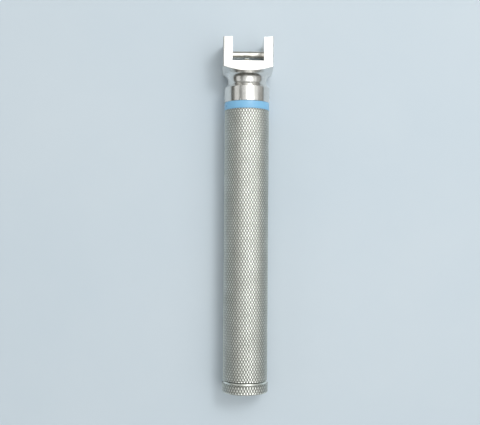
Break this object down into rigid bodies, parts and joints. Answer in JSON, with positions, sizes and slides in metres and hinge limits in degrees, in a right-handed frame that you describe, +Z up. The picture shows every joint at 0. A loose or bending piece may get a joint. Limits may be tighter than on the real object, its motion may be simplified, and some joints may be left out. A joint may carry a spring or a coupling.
{
  "type": "laryngoscope handle",
  "caption": "Slim knurled hook-on laryngoscope handle with a fork, cross bar and sprung contact at the head, a coloured ring and an unscrewing end cap over battery cells.",
  "frame": {"origin": "the point on the ground under the middle of the handle, as it lies on its blade side", "axes": "+Y along the handle from the end cap to the fork, +Z up, away from the blade side, +X across the fork's arms"},
  "size_m": [0.021, 0.15, 0.0203],
  "materials": {
    "polished_plate": "nickel-plated brass, polished by hand",
    "knurled_plate": "satin nickel plate over diamond knurling",
    "bar_steel": "ground and polished stainless steel",
    "contact_metal": "nickel-plated brass, worn bright on the dome",
    "spring_steel": "drawn spring wire",
    "insulator": "turned acetal",
    "liner_plastic": "extruded thin-wall tube",
    "blue_ring": "satin blue anodised",
    "seal_rubber": "moulded nitrile, greased",
    "cell_steel": "nickel-plated deep-drawn steel",
    "cell_jacket": "shrunk film, two plain colours",
    "cell_seal": "moulded nylon",
    "cell_core": "pressed manganese dioxide around a zinc gel"
  },
  "bodies": {
    "handle": {"head_fork": "polished_plate", "hook_bar": "bar_steel", "contact_bush": "insulator", "contact_spring": "spring_steel", "contact_retainer": "insulator", "battery_contact": "contact_metal", "id_ring": "blue_ring", "head_o_ring": "seal_rubber", "barrel": "knurled_plate", "battery_liner": "liner_plastic"},
    "contact": {"contact_pin": "contact_metal"},
    "cell_1": {"cell_1_can": "cell_steel", "cell_1_core": "cell_core", "cell_1_jacket": "cell_jacket", "cell_1_seal": "cell_seal", "cell_1_base": "cell_steel"},
    "cell_2": {"cell_2_can": "cell_steel", "cell_2_core": "cell_core", "cell_2_jacket": "cell_jacket", "cell_2_seal": "cell_seal", "cell_2_base": "cell_steel"},
    "spring_set": {"spring_seat": "contact_metal", "cap_spring": "spring_steel"},
    "cap": {"end_cap": "knurled_plate", "cap_o_ring": "seal_rubber", "snap_ring": "spring_steel"}
  },
  "joints": [
    {"name": "contact_press", "type": "slide", "parent": "handle", "child": "contact", "axis": [0, -1, 0], "range_m": [0, 0.002], "stiffness_N_per_m": 800, "springref_m": -0.001, "deforming": ["contact_spring"]},
    {"name": "battery_draw", "type": "slide", "parent": "handle", "child": "cell_2", "axis": [0, -1, 0], "range_m": [0, 0.13]},
    {"name": "cell_1_follow", "type": "slide", "parent": "handle", "child": "cell_1", "axis": [0, -1, 0], "range_m": [0, 0.065]},
    {"name": "cap_travel", "type": "slide", "parent": "cell_2", "child": "spring_set", "axis": [0, -1, 0], "range_m": [0, 0.006], "deforming": ["cap_spring"]},
    {"name": "cap_turn", "type": "hinge", "parent": "spring_set", "child": "cap", "pos_m": [0, -0.07, 0.00975], "axis": [0, -1, 0], "range_deg": [0, 2160]}
  ],
  "couplings": [
    {"joint": "cell_1_follow", "follows": "battery_draw", "ratio": 0.5},
    {"joint": "cap_turn", "follows": "cap_travel", "rad_per_m": 6283.2}
  ]
}
